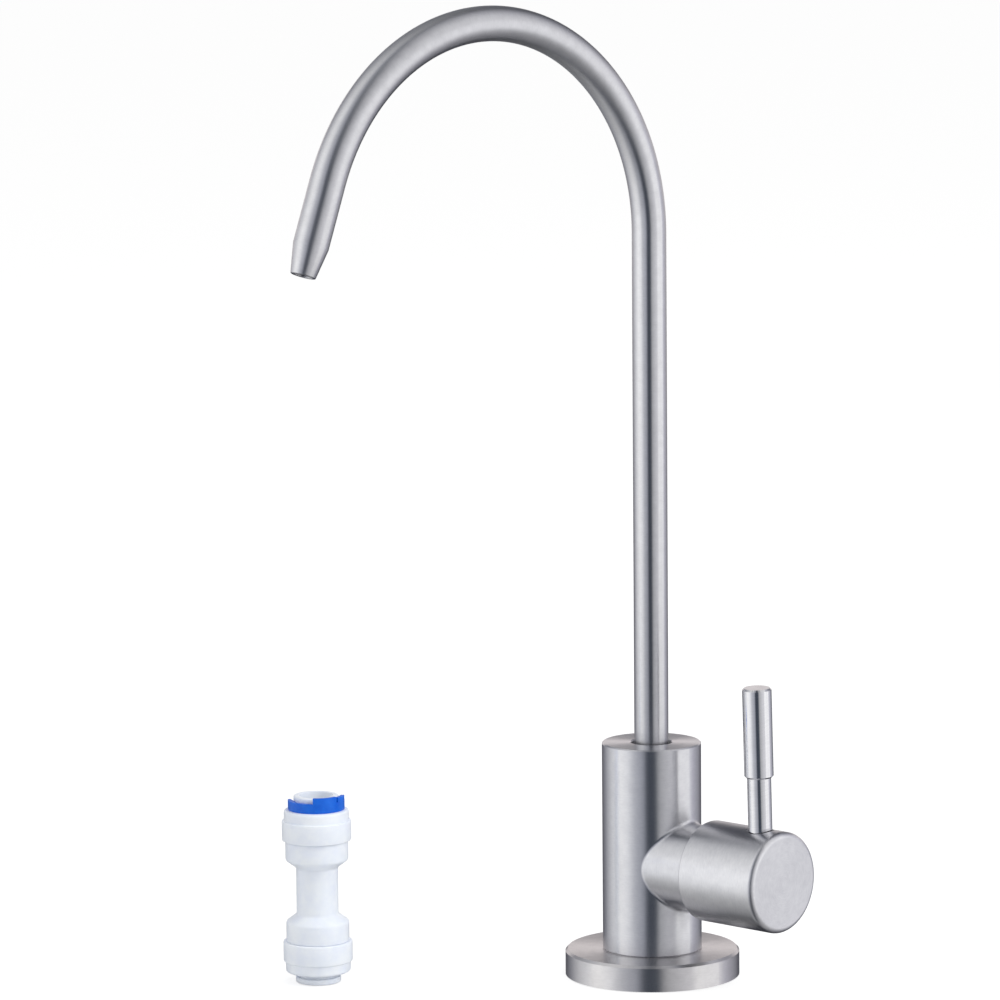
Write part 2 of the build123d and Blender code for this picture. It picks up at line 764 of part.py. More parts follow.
# Loose connector, drawn about its own middle and then stood beside the tap
tube_socket_radius = inlet_stub_diameter / 2 + tube_socket_clearance
union_chamber_radius = tube_socket_radius + union_oring_section + union_oring_gap
spigot_radius = union_chamber_radius + spigot_wall
union_end_radius = spigot_radius + union_end_step
union_neck_radius = union_neck_diameter / 2
union_end_start = union_neck_half + union_neck_taper
tube_socket_end = union_web_half + tube_socket_depth
end_cap_start = tube_socket_end + spigot_rise
spigot_end = end_cap_start + spigot_length
end_cap_end = spigot_end + end_cap_reach
union_middle = end_cap_end + collet_press_gap + collet_flange_thickness


def stand(piece):
    return Pos(connector_x, connector_y, union_middle) * Rot(0, 0, connector_azimuth) * piece


def lower_end(piece):
    return mirror(piece, Plane.XY)


union_half = turned_upright(
    [
        (0, union_web_bore_diameter / 2),
        (0, union_neck_radius),
        (union_neck_half, union_neck_radius),
        (union_end_start, union_end_radius),
        (end_cap_start, union_end_radius),
        (end_cap_start, spigot_radius),
        (spigot_end, spigot_radius),
        (spigot_end, union_chamber_radius),
        (tube_socket_end, union_chamber_radius),
        (tube_socket_end, tube_socket_radius),
        (union_web_half, tube_socket_radius),
        (union_web_half, union_web_bore_diameter / 2),
    ]
)
union_shoulder = union_half.edges().filter_by(GeomType.CIRCLE).filter_by_position(
    Axis.Z, union_neck_half, union_end_start
)
union_half = fillet(union_shoulder, union_end_rounding)
connector_body = stand(union_half + lower_end(union_half))

# End caps: a band, a narrower collar with a rounded rim and the lip that holds the collet
collet_bore_radius = tube_socket_radius + assembly_clearance
collet_stem_radius = collet_bore_radius + collet_wall
mouth_radius = collet_stem_radius + free_clearance
end_cap_band_radius = spigot_radius + assembly_clearance + end_cap_wall
end_cap_collar_radius = end_cap_band_radius - end_cap_step
lip_start = end_cap_end - end_cap_lip
cone_start = lip_start - end_cap_rounding
end_cap = turned_upright(
    [
        (end_cap_start + assembly_clearance, spigot_radius + assembly_clearance),
        (end_cap_start + assembly_clearance, end_cap_band_radius),
        (end_cap_start + end_cap_band_width, end_cap_band_radius),
        (end_cap_start + end_cap_band_width, end_cap_collar_radius),
        (end_cap_end, end_cap_collar_radius),
        (end_cap_end, mouth_radius),
        (lip_start, mouth_radius),
        (cone_start, union_chamber_radius),
        (spigot_end + assembly_clearance, union_chamber_radius),
        (spigot_end + assembly_clearance, spigot_radius + assembly_clearance),
    ]
)
end_cap_rim = end_cap.edges().filter_by(GeomType.CIRCLE).sort_by(SortBy.RADIUS).filter_by_position(
    Axis.Z, end_cap_end, end_cap_end
)[-1]
end_cap = fillet(end_cap_rim, end_cap_rounding)
connector_end_caps = Compound([stand(end_cap).solid(), stand(lower_end(end_cap)).solid()])

# Tube seals and the spacers that hold them down
union_oring_outer = tube_socket_radius + union_oring_section + assembly_clearance
union_oring_level = tube_socket_end + union_oring_section / 2 + assembly_clearance
union_oring = oring_upright(union_oring_level, union_oring_outer, union_oring_section)
connector_orings = Compound([stand(union_oring).solid(), stand(lower_end(union_oring)).solid()])
spacer_start = union_oring_level + union_oring_section / 2 + assembly_clearance
spacer = ring_upright(
    spacer_start,
    spacer_start + spacer_thickness,
    union_chamber_radius - assembly_clearance,
    tube_socket_radius + assembly_clearance,
)
connector_spacers = Compound([stand(spacer).solid(), stand(lower_end(spacer)).solid()])

# Collet: a flange, a stem and a barbed end split into fingers, with a steel grab ring in its bore
upper_flange_level = end_cap_end + clip_base_thickness + 2 * assembly_clearance
lower_flange_level = end_cap_end + collet_press_gap
collet_barb_radius = union_chamber_radius - free_clearance
collet_flange_radius = collet_stem_radius + collet_flange_reach
barb_top = cone_start - collet_barb_gap - upper_flange_level
collet_inner_end = barb_top - collet_barb_length
collet = turned_upright(
    [
        (collet_inner_end, collet_bore_radius),
        (collet_inner_end, collet_stem_radius),
        (barb_top - collet_barb_length / 2, collet_barb_radius),
        (barb_top, collet_barb_radius),
        (barb_top, collet_stem_radius),
        (0, collet_stem_radius),
        (0, collet_flange_radius),
        (collet_flange_thickness, collet_flange_radius),
        (collet_flange_thickness, collet_bore_radius),
    ]
)
collet_top_edges = collet.edges().filter_by(GeomType.CIRCLE).filter_by_position(
    Axis.Z, collet_flange_thickness, collet_flange_thickness
)
collet = fillet(collet_top_edges, collet_flange_rounding)
for slot in range(collet_slots // 2):
    slot_box = Box(2 * union_chamber_radius, collet_slot_width, 2 * collet_slot_length)
    slot_angle = 360 / collet_slots * slot
    collet = collet - Pos(0, 0, collet_inner_end) * Rot(0, 0, slot_angle) * slot_box
grab_ring_level = collet_inner_end + grab_ring_place
collet = collet - ring_upright(
    grab_ring_level,
    grab_ring_level + grab_ring_thickness,
    collet_bore_radius + grab_ring_depth,
    collet_bore_radius - grab_ring_depth,
)
grab_ring = ring_upright(
    grab_ring_level + assembly_clearance,
    grab_ring_level + grab_ring_thickness - assembly_clearance,
    collet_bore_radius + grab_ring_depth - assembly_clearance,
    collet_bore_radius + assembly_clearance,
)
upper_collet = stand(Pos(0, 0, upper_flange_level) * collet)
upper_grab_ring = stand(Pos(0, 0, upper_flange_level) * grab_ring)
lower_collet = stand(lower_end(Pos(0, 0, lower_flange_level) * collet))
lower_grab_ring = stand(lower_end(Pos(0, 0, lower_flange_level) * grab_ring))

# Locking clip: a U-shaped plate under the collet's flange, with a low rim, a pull tab and a small lug
clip_slot_half = collet_stem_radius + free_clearance
rim_inner_radius = collet_flange_radius + clip_rim_gap
clip_outer_radius = rim_inner_radius + clip_rim_width
clip_bottom = end_cap_end + assembly_clearance


def slotted(face, half_width):
    slot = Pos(-clip_outer_radius, 0) * Rectangle(2 * clip_outer_radius, 2 * half_width)
    return face - Circle(half_width) - slot


def clip_sector(middle_angle, whole_angle, height):
    face = Circle(clip_outer_radius) - Circle(rim_inner_radius)
    face = face & slice_face(clip_outer_radius, middle_angle, whole_angle)
    return extrude(face, clip_base_thickness + height)


clip_base = extrude(slotted(Circle(clip_outer_radius), clip_slot_half), clip_base_thickness)
clip_rim = extrude(
    slotted(Circle(clip_outer_radius), rim_inner_radius), clip_base_thickness + clip_rim_height
)
clip_tab = clip_sector(0, clip_tab_angle, clip_tab_height)
clip_lug = clip_sector(clip_lug_offset_angle, clip_lug_angle, clip_lug_height)
collet_clip = stand(Pos(0, 0, clip_bottom) * (clip_base + clip_rim + clip_tab + clip_lug))

# One file for each piece
pieces = {
    "body_shell": body_shell,
    "base_flange": base_flange,
    "flange_seal": flange_seal,
    "threaded_shank": threaded_shank,
    "deck_gasket": deck_gasket,
    "deck_washer": deck_washer,
    "mounting_nut": mounting_nut,
    "cartridge_housing": cartridge_housing,
    "cartridge_oring": cartridge_oring,
    "fixed_disc": fixed_disc,
    "seat_seal": seat_seal,
    "moving_disc": moving_disc,
    "valve_spindle": valve_spindle,
    "spindle_orings": spindle_orings,
    "stop_washer": stop_washer,
    "spindle_clip": spindle_clip,
    "handle_cap": handle_cap,
    "handle_hub": handle_hub,
    "handle_screw": handle_screw,
    "lever_pin": lever_pin,
    "lever_sleeve": lever_sleeve,
    "spout_tube": spout_tube,
    "spout_ferrule": spout_ferrule,
    "spout_orings": spout_orings,
    "spout_snap_ring": spout_snap_ring,
    "spout_slide_ring": spout_slide_ring,
    "connector_body": connector_body,
    "connector_end_caps": connector_end_caps,
    "connector_orings": connector_orings,
    "connector_spacers": connector_spacers,
    "upper_collet": upper_collet,
    "upper_grab_ring": upper_grab_ring,
    "lower_collet": lower_collet,
    "lower_grab_ring": lower_grab_ring,
    "collet_clip": collet_clip,
}
os.makedirs("parts", exist_ok=True)
for name, piece in pieces.items():
    export_step(piece, f"parts/{name}.step")
print("pieces written:", len(pieces))
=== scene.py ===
import json
import math
import bpy
from mathutils import Euler, Matrix, Vector


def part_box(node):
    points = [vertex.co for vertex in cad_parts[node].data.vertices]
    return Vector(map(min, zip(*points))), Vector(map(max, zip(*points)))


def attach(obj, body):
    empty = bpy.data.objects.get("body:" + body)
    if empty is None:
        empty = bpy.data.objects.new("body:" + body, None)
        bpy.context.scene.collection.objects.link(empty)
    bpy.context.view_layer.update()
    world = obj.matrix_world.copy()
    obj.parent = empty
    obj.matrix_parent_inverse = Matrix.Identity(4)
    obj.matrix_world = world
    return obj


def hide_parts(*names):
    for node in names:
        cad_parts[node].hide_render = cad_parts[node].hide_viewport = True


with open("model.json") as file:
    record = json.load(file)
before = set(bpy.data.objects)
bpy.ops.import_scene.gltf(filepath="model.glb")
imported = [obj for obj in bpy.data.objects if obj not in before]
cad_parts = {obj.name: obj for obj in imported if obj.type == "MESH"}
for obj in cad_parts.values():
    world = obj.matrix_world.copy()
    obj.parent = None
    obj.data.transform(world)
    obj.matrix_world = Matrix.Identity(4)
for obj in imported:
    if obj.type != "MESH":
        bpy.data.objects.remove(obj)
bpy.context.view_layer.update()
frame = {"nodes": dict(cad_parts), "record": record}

nodes = frame["nodes"]
scene = bpy.context.scene


def hexColour(text):
    # sRGB hex to the linear values that Blender works in
    channels = [int(text[i:i + 2], 16) / 255 for i in (1, 3, 5)]
    linear = [c / 12.92 if c <= 0.04045 else ((c + 0.055) / 1.055) ** 2.4 for c in channels]
    return (*linear, 1.0)


def grey(level):
    # A plain grey from its linear level
    return (level, level, level, 1.0)


# Camera: where the photograph was taken from
camera = {
    "place": (0.97724, -1.13024, 0.34879),
    "forward": (-0.66875302, 0.7301864, -0.13999007),
    "up": (-0.08809636, 0.10913865, 0.99011504),
    "lens": 191.07,
    "sensor": 36,
    "nearest": 0.05,
    "farthest": 50,
}
forward = Vector(camera["forward"]).normalized()
right = forward.cross(Vector(camera["up"])).normalized()
up = right.cross(forward)
bpy.ops.object.camera_add(location=camera["place"])
photoCamera = bpy.context.object
photoCamera.name = "photoCamera"
photoCamera.rotation_mode = "QUATERNION"
photoCamera.rotation_quaternion = Matrix((right, up, -forward)).transposed().to_quaternion()
photoCamera.data.lens = camera["lens"]
photoCamera.data.sensor_width = camera["sensor"]
photoCamera.data.clip_start = camera["nearest"]
photoCamera.data.clip_end = camera["farthest"]
scene.camera = photoCamera
scene.view_settings.view_transform = "Standard"
print("camera placed")


def addNode(tree, kind, settings=None, links=None):
    # One shader node: settings go on its properties or its input sockets, links join inputs to outputs.
    # A Mix node has vectors at inputs 4 and 5 and output 1, and colours at inputs 6 and 7 and output 2
    node = tree.nodes.new(kind)
    for key, value in (settings or {}).items():
        if isinstance(key, str) and hasattr(node, key):
            setattr(node, key, value)
        else:
            node.inputs[key].default_value = value
    for key, output in (links or {}).items():
        tree.links.new(output, node.inputs[key])
    return node


def emptyTree(owner):
    # The node tree of a material or of the world, with nothing in it
    owner.use_nodes = True
    owner.node_tree.nodes.clear()
    return owner.node_tree


def seenRays(tree):
    # 1 for what the camera sees, also in gloss and through glass, and 0 for light that falls on the object
    rays = addNode(tree, "ShaderNodeLightPath")
    seen = rays.outputs["Is Camera Ray"]
    for ray in ("Is Glossy Ray", "Is Transmission Ray"):
        either = addNode(tree, "ShaderNodeMath", {"operation": "MAXIMUM"}, {0: seen, 1: rays.outputs[ray]})
        seen = either.outputs[0]
    return seen


# Studio: pale floor, white surroundings, a light tent that only gloss sees, and three soft lamps
studio = {
    "floorSize": 30.0,
    "floorLevel": -0.0002,
    "paperColour": "#e8e8e8",  # what the floor throws back at the tap
    "paperShare": 0.42,  # what the camera sees of the floor: paper that takes the shadows,
    "paperGlow": 0.72,  # and light of its own
    "diffuseLevel": 0.62,  # the white surroundings as light on the object
    "tentRadius": 1.7,
    "tentSides": 96,
    "tentRings": 48,
    "tentStrength": 1.28,
    "stripReach": 104,  # degrees to each side of the camera up to which the strip is like the panels
    "lampAim": 0.12,
}
cameraTurn = math.atan2(-forward.y, -forward.x)

bpy.ops.object.select_all(action="DESELECT")
bpy.ops.mesh.primitive_plane_add(size=studio["floorSize"], location=(0, 0, studio["floorLevel"]))
floor = bpy.context.object
floor.name = "studioFloor"
floor.visible_glossy = False
floorPaper = bpy.data.materials.new("whiteStudioPaper")
tree = emptyTree(floorPaper)
seen = seenRays(tree)
paper = addNode(tree, "ShaderNodeBsdfDiffuse", {"Color": hexColour(studio["paperColour"])})
dimPaper = addNode(tree, "ShaderNodeBsdfDiffuse", {"Color": grey(studio["paperShare"])})
glow = addNode(tree, "ShaderNodeEmission", {"Color": grey(1.0), "Strength": studio["paperGlow"]})
white = addNode(tree, "ShaderNodeAddShader", None, {0: dimPaper.outputs[0], 1: glow.outputs[0]})
chosen = addNode(tree, "ShaderNodeMixShader", None, {0: seen, 1: paper.outputs[0], 2: white.outputs[0]})
addNode(tree, "ShaderNodeOutputMaterial", None, {"Surface": chosen.outputs[0]})
floor.data.materials.append(floorPaper)

world = bpy.data.worlds.new("studioWorld")
scene.world = world
tree = emptyTree(world)
strength = addNode(tree, "ShaderNodeMapRange", {"To Min": studio["diffuseLevel"], "To Max": 1.0},
                   {"Value": seenRays(tree)})
sky = addNode(tree, "ShaderNodeBackground", {"Color": grey(1.0)}, {"Strength": strength.outputs[0]})
addNode(tree, "ShaderNodeOutputWorld", None, {"Surface": sky.outputs[0]})

# The tent's panels by their turn from the camera, in degrees to its right
tentPanels = [
    (-180, "#4a4c54"), (-156, "#4a4c54"), (-147, "#6c6e76"), (-137, "#7e8088"), (-104, "#dcdde0"),
    (-80, "#ffffff"), (-60, "#f2f3f6"), (-42, "#bfc1c8"), (-22, "#a0a3ad"), (-13, "#3e444e"), (7, "#444a54"),
    (15, "#acadb0"), (40, "#d0d0d4"), (53, "#d6d6da"), (58, "#fbfbfc"), (80, "#f2f2f4"), (97, "#f8f8fa"),
    (104, "#c6c6d0"), (120, "#a4a4ae"), (137, "#86878f"), (153, "#4a4c54"), (180, "#4a4c54"),
]
# A strip of the tent: pale behind the tap, where its flat tops reflect it, and like the panels elsewhere
backStrip = [
    (-180, "#d1cbcb"), (-140, "#cbc7c9"),
    *[panel for panel in tentPanels if abs(panel[0]) <= studio["stripReach"]],
    (140, "#cbc7c9"), (180, "#d1cbcb"),
]
# By height on the tent, in degrees from straight down to straight up: its brightness, and the strip's share
heightLevels = [
    (-90, 0.3), (-48, 0.36), (-28, 0.54), (-14, 0.88), (-4, 1.0), (18, 1.0), (30, 0.85), (48, 0.8), (90, 0.5),
]
stripShares = [(-90, 0.0), (0, 0.0), (4, 1.0), (17, 1.0), (23, 0.0), (90, 0.0)]

bpy.ops.object.select_all(action="DESELECT")
bpy.ops.mesh.primitive_uv_sphere_add(segments=studio["tentSides"], ring_count=studio["tentRings"],
                                     radius=studio["tentRadius"], location=(0, 0, 0))
tent = bpy.context.object
tent.name = "lightTent"
tent.visible_camera = False
tent.visible_diffuse = False
tent.visible_shadow = False
tent.visible_transmission = False


def fillRamp(node, stops):
    # Puts (place, colour) stops on a colour ramp, which runs from the first place to the last
    lowest, highest = stops[0][0], stops[-1][0]
    elements = node.color_ramp.elements
    while len(elements) > 1:
        elements.remove(elements[-1])
    for index, (place, colour) in enumerate(stops):
        share = (place - lowest) / (highest - lowest)
        stop = elements[0] if index == 0 else elements.new(share)
        stop.position = share
        stop.color = colour


tentCloth = bpy.data.materials.new("tentCloth")
tree = emptyTree(tentCloth)
position = addNode(tree, "ShaderNodeNewGeometry")
turned = addNode(tree, "ShaderNodeVectorRotate", {"rotation_type": "Z_AXIS", "Angle": -cameraTurn},
                 {"Vector": position.outputs["Position"]})
split = addNode(tree, "ShaderNodeSeparateXYZ", None, {0: turned.outputs[0]})
angle = addNode(tree, "ShaderNodeMath", {"operation": "ARCTAN2"}, {0: split.outputs[1], 1: split.outputs[0]})
around = addNode(tree, "ShaderNodeMapRange", {"From Min": -math.pi, "From Max": math.pi},
                 {"Value": angle.outputs[0]})
rise = addNode(tree, "ShaderNodeMath", {"operation": "DIVIDE", 1: studio["tentRadius"]},
               {0: split.outputs[2]})
rise = addNode(tree, "ShaderNodeMath", {"operation": "ARCSINE"}, {0: rise.outputs[0]})
rise = addNode(tree, "ShaderNodeMapRange", {"From Min": -math.pi / 2, "From Max": math.pi / 2},
               {"Value": rise.outputs[0]})
ramps = []
for place, stops in ((around, [(turn, hexColour(colour)) for turn, colour in tentPanels]),
                     (around, [(turn, hexColour(colour)) for turn, colour in backStrip]),
                     (rise, [(height, grey(level)) for height, level in heightLevels]),
                     (rise, [(height, grey(level)) for height, level in stripShares])):
    ramps.append(addNode(tree, "ShaderNodeValToRGB", None, {0: place.outputs[0]}))
    fillRamp(ramps[-1], stops)
panelRamp, stripRamp, levelRamp, shareRamp = [ramp.outputs[0] for ramp in ramps]
panels = addNode(tree, "ShaderNodeMix", {"data_type": "RGBA"}, {0: shareRamp, 6: panelRamp, 7: stripRamp})
strength = addNode(tree, "ShaderNodeMath", {"operation": "MULTIPLY", 1: studio["tentStrength"]},
                   {0: levelRamp})
cloth = addNode(tree, "ShaderNodeEmission", None,
                {"Color": panels.outputs[2], "Strength": strength.outputs[0]})
addNode(tree, "ShaderNodeOutputMaterial", None, {"Surface": cloth.outputs[0]})
tent.data.materials.append(tentCloth)

# Square lamps aimed at the middle of the tap: turn in degrees to the camera's right, then metres and watts
lamps = {
    "leftLamp": {"turn": -60, "distance": 1.4, "height": 0.9, "size": 0.9, "power": 2.4},
    "rightLamp": {"turn": 65, "distance": 1.4, "height": 0.9, "size": 0.9, "power": 12.5},
    "topLamp": {"turn": 10, "distance": 0.3, "height": 1.6, "size": 1.0, "power": 4},
}
for name, values in lamps.items():
    heading = cameraTurn + math.radians(values["turn"])
    place = Vector((values["distance"] * math.cos(heading), values["distance"] * math.sin(heading),
                    values["height"]))
    bpy.ops.object.light_add(type="AREA", location=place)
    lamp = bpy.context.object
    lamp.name = name
    lamp.data.shape = "SQUARE"
    lamp.data.size = values["size"]
    lamp.data.energy = values["power"]
    lamp.visible_glossy = False
    lamp.rotation_mode = "QUATERNION"
    lamp.rotation_quaternion = (Vector((0, 0, studio["lampAim"])) - place).to_track_quat("-Z", "Y")
print("studio built")

# How the finishes draw their noise. Each range is the part of the noise over which the two tones or the
# dullness change
metalLook = {
    "acrossGrain": 0.25,  # a quarter turn, so that gloss spreads across the lines
    "lineDetail": 3.0,
    "lineBreakup": 0.6,
    "cloudDetail": 5.0,
    "cloudBreakup": 0.65,
    "toneRange": (0.7, 1.3),  # of lines and clouds added up
    "dullRange": (0.3, 0.7),
    "dullSpread": 0.02,  # to each side of a finish's roughness
}
mouldedLook = {
    "cloudDetail": 4.0,
    "cloudBreakup": 0.6,
    "skinDetail": 2.0,
    "toneRange": (0.35, 0.65),
    "dullRange": (0.3, 0.7),
    "dullSpread": 0.04,
    "glowDepth": 0.0012,  # how deep light gets into the plastic, in metres
}


def newFinish(name):
    # An empty material with a Principled shader
    finish = bpy.data.materials.new(name)
    tree = emptyTree(finish)
    shader = addNode(tree, "ShaderNodeBsdfPrincipled")
    addNode(tree, "ShaderNodeOutputMaterial", None, {"Surface": shader.outputs[0]})
    return finish, tree, shader


def ringGrain(tree, where, centre, turn, squeeze):
    # Where to sample noise so that it is drawn out into rings round an axis, also on flat ends, and the way
    # that the rings run
    local = addNode(tree, "ShaderNodeMapping",
                    {"vector_type": "TEXTURE", "Location": centre, "Rotation": turn}, {"Vector": where})
    parts = addNode(tree, "ShaderNodeSeparateXYZ", None, {0: local.outputs[0]})
    level = addNode(tree, "ShaderNodeCombineXYZ", None, {0: parts.outputs[0], 1: parts.outputs[1]})
    reach = addNode(tree, "ShaderNodeVectorMath", {"operation": "LENGTH"}, {0: level.outputs[0]})
    along = addNode(tree, "ShaderNodeMath", {"operation": "ADD"}, {0: reach.outputs[1], 1: parts.outputs[2]})
    along = addNode(tree, "ShaderNodeMath", {"operation": "MULTIPLY", 1: squeeze}, {0: along.outputs[0]})
    squeezed = addNode(tree, "ShaderNodeCombineXYZ", None,
                       {0: parts.outputs[0], 1: parts.outputs[1], 2: along.outputs[0]})
    axis = Vector((0, 0, 1))
    axis.rotate(Euler(turn))
    offset = addNode(tree, "ShaderNodeVectorMath", {"operation": "SUBTRACT", 1: centre}, {0: where})
    ring = addNode(tree, "ShaderNodeVectorMath", {"operation": "CROSS_PRODUCT", 1: tuple(axis)},
                   {0: offset.outputs[0]})
    return squeezed.outputs[0], ring.outputs[0]


def tubeGrain(tree, tubeMap, squeeze):
    # The same for the bent tube, and how far along it a point lies. The tube's map runs once round it, and
    # along it in metres, so it is wound up again to sample the noise
    rolled = addNode(tree, "ShaderNodeUVMap", {"uv_map": tubeMap["map"]})
    parts = addNode(tree, "ShaderNodeSeparateXYZ", None, {0: rolled.outputs[0]})
    turned = addNode(tree, "ShaderNodeMath", {"operation": "MULTIPLY", 1: 2 * math.pi}, {0: parts.outputs[0]})
    east = addNode(tree, "ShaderNodeMath", {"operation": "COSINE"}, {0: turned.outputs[0]})
    north = addNode(tree, "ShaderNodeMath", {"operation": "SINE"}, {0: turned.outputs[0]})
    circle = addNode(tree, "ShaderNodeCombineXYZ", None, {0: east.outputs[0], 1: north.outputs[0]})
    circle = addNode(tree, "ShaderNodeVectorMath", {"operation": "SCALE", "Scale": tubeMap["radius"]},
                     {0: circle.outputs[0]})
    along = addNode(tree, "ShaderNodeCombineXYZ", None, {2: parts.outputs[1]})
    along = addNode(tree, "ShaderNodeVectorMath", {"operation": "SCALE", "Scale": squeeze},
                    {0: along.outputs[0]})
    wound = addNode(tree, "ShaderNodeVectorMath", {"operation": "ADD"},
                    {0: circle.outputs[0], 1: along.outputs[0]})
    tangent = addNode(tree, "ShaderNodeTangent", {"direction_type": "UV_MAP", "uv_map": tubeMap["map"]})
    return wound.outputs[0], tangent.outputs[0], parts.outputs[1]


def turnedMetal(name, colour, darker, roughness, spread, grain, centre=(0, 0, 0), turn=(0, 0, 0), neck=None,
                tubeMap=None):
    # Metal whose fine grain runs round an axis, or round a bent tube. spread is how far gloss smears across
    # the lines. grain holds their pitch, length and depth and the size of the metal's clouds, in millimetres
    finish, tree, shader = newFinish(name)
    shader.inputs["Metallic"].default_value = 1.0
    shader.inputs["Anisotropic"].default_value = spread
    shader.inputs["Anisotropic Rotation"].default_value = metalLook["acrossGrain"]
    where = addNode(tree, "ShaderNodeTexCoord").outputs["Object"]
    squeeze = grain["length"] / grain["pitch"]
    if tubeMap:
        place, tangent, alongTube = tubeGrain(tree, tubeMap, squeeze)
    else:
        grains = ringGrain(tree, where, centre, turn, squeeze)
        if neck:
            # Past the body's own radius the surface belongs to the neck
            flat = addNode(tree, "ShaderNodeVectorMath", {"operation": "MULTIPLY", 1: (1, 1, 0)}, {0: where})
            reach = addNode(tree, "ShaderNodeVectorMath", {"operation": "LENGTH"}, {0: flat.outputs[0]})
            past = addNode(tree, "ShaderNodeMapRange",
                           {"From Min": neck["bodyRadius"], "From Max": neck["neckFrom"]},
                           {"Value": reach.outputs[1]})
            neckGrains = ringGrain(tree, where, neck["centre"], neck["turn"], squeeze)
            mixes = [addNode(tree, "ShaderNodeMix", {"data_type": "VECTOR"},
                             {0: past.outputs[0], 4: own, 5: other})
                     for own, other in zip(grains, neckGrains)]
            grains = [mix.outputs[1] for mix in mixes]
        place = grains[0]
        tangent = addNode(tree, "ShaderNodeVectorTransform",
                          {"vector_type": "VECTOR", "convert_from": "OBJECT", "convert_to": "WORLD"},
                          {0: grains[1]}).outputs[0]
    tree.links.new(tangent, shader.inputs["Tangent"])
    lines = addNode(tree, "ShaderNodeTexNoise",
                    {"Scale": 1000 / grain["length"], "Detail": metalLook["lineDetail"],
                     "Roughness": metalLook["lineBreakup"]},
                    {"Vector": place})
    clouds = addNode(tree, "ShaderNodeTexNoise",
                     {"Scale": 1000 / grain["cloud"], "Detail": metalLook["cloudDetail"],
                      "Roughness": metalLook["cloudBreakup"]},
                     {"Vector": where})
    mixed = addNode(tree, "ShaderNodeMath", {"operation": "ADD"}, {0: lines.outputs[0], 1: clouds.outputs[0]})
    darkest, palest = metalLook["toneRange"]
    tone = addNode(tree, "ShaderNodeMapRange", {"From Min": darkest, "From Max": palest},
                   {"Value": mixed.outputs[0]})
    shade = addNode(tree, "ShaderNodeMix", {"data_type": "RGBA", 6: hexColour(darker), 7: hexColour(colour)},
                    {0: tone.outputs[0]})
    tree.links.new(shade.outputs[2], shader.inputs["Base Color"])
    dullest, brightest = metalLook["dullRange"]
    dull = addNode(tree, "ShaderNodeMapRange",
                   {"From Min": dullest, "From Max": brightest,
                    "To Min": roughness + metalLook["dullSpread"],
                    "To Max": roughness - metalLook["dullSpread"]},
                   {"Value": clouds.outputs[0]})
    if tubeMap:
        # The bend was brushed by hand, so it is a little duller than the straight tube
        bent = addNode(tree, "ShaderNodeMapRange",
                       {"From Min": tubeMap["softFrom"], "From Max": tubeMap["softTo"],
                        "To Max": tubeMap["softer"]},
                       {"Value": alongTube})
        dull = addNode(tree, "ShaderNodeMath", {"operation": "ADD"}, {0: dull.outputs[0], 1: bent.outputs[0]})
    tree.links.new(dull.outputs[0], shader.inputs["Roughness"])
    relief = addNode(tree, "ShaderNodeBump", {"Strength": 1.0, "Distance": grain["depth"] / 1000},
                     {"Height": lines.outputs[0]})
    tree.links.new(relief.outputs[0], shader.inputs["Normal"])
    return finish


def mouldedFinish(name, colour, paler, roughness, ior, grain, glow=0.0, shine=0.5):
    # Moulded plastic, rubber or pressed ceramic: a slight cloudiness and a fine skin.
    # grain holds the size and depth of the skin's texture and the size of its clouds in millimetres
    finish, tree, shader = newFinish(name)
    shader.inputs["IOR"].default_value = ior
    shader.inputs["Specular IOR Level"].default_value = shine
    if glow:
        shader.inputs["Subsurface Weight"].default_value = glow
        shader.inputs["Subsurface Radius"].default_value = (1.0, 1.0, 1.0)
        shader.inputs["Subsurface Scale"].default_value = mouldedLook["glowDepth"]
    where = addNode(tree, "ShaderNodeTexCoord").outputs["Object"]
    clouds = addNode(tree, "ShaderNodeTexNoise",
                     {"Scale": 1000 / grain["cloud"], "Detail": mouldedLook["cloudDetail"],
                      "Roughness": mouldedLook["cloudBreakup"]},
                     {"Vector": where})
    skin = addNode(tree, "ShaderNodeTexNoise",
                   {"Scale": 1000 / grain["size"], "Detail": mouldedLook["skinDetail"]}, {"Vector": where})
    darkest, palest = mouldedLook["toneRange"]
    tone = addNode(tree, "ShaderNodeMapRange", {"From Min": darkest, "From Max": palest},
                   {"Value": clouds.outputs[0]})
    shade = addNode(tree, "ShaderNodeMix", {"data_type": "RGBA", 6: hexColour(colour), 7: hexColour(paler)},
                    {0: tone.outputs[0]})
    tree.links.new(shade.outputs[2], shader.inputs["Base Color"])
    smoothest, dullest = mouldedLook["dullRange"]
    dull = addNode(tree, "ShaderNodeMapRange",
                   {"From Min": smoothest, "From Max": dullest,
                    "To Min": roughness - mouldedLook["dullSpread"],
                    "To Max": roughness + mouldedLook["dullSpread"]},
                   {"Value": skin.outputs[0]})
    tree.links.new(dull.outputs[0], shader.inputs["Roughness"])
    relief = addNode(tree, "ShaderNodeBump", {"Strength": 1.0, "Distance": grain["depth"] / 1000},
                     {"Height": skin.outputs[0]})
    tree.links.new(relief.outputs[0], shader.inputs["Normal"])
    return finish


valveCentre = (0.0408, 0.0, 0.0329)
valveTurn = (0, math.pi / 2, 0)
leverFoot = (0.0408, 0, 0)
bodyNeck = {"centre": valveCentre, "turn": valveTurn, "bodyRadius": 0.0142, "neckFrom": 0.0146}
# The tube gets duller by softer between two places along it, in metres
spoutMap = {"map": "roundAndAlong", "radius": 0.00488, "softFrom": 0.205, "softTo": 0.235, "softer": 0.06}
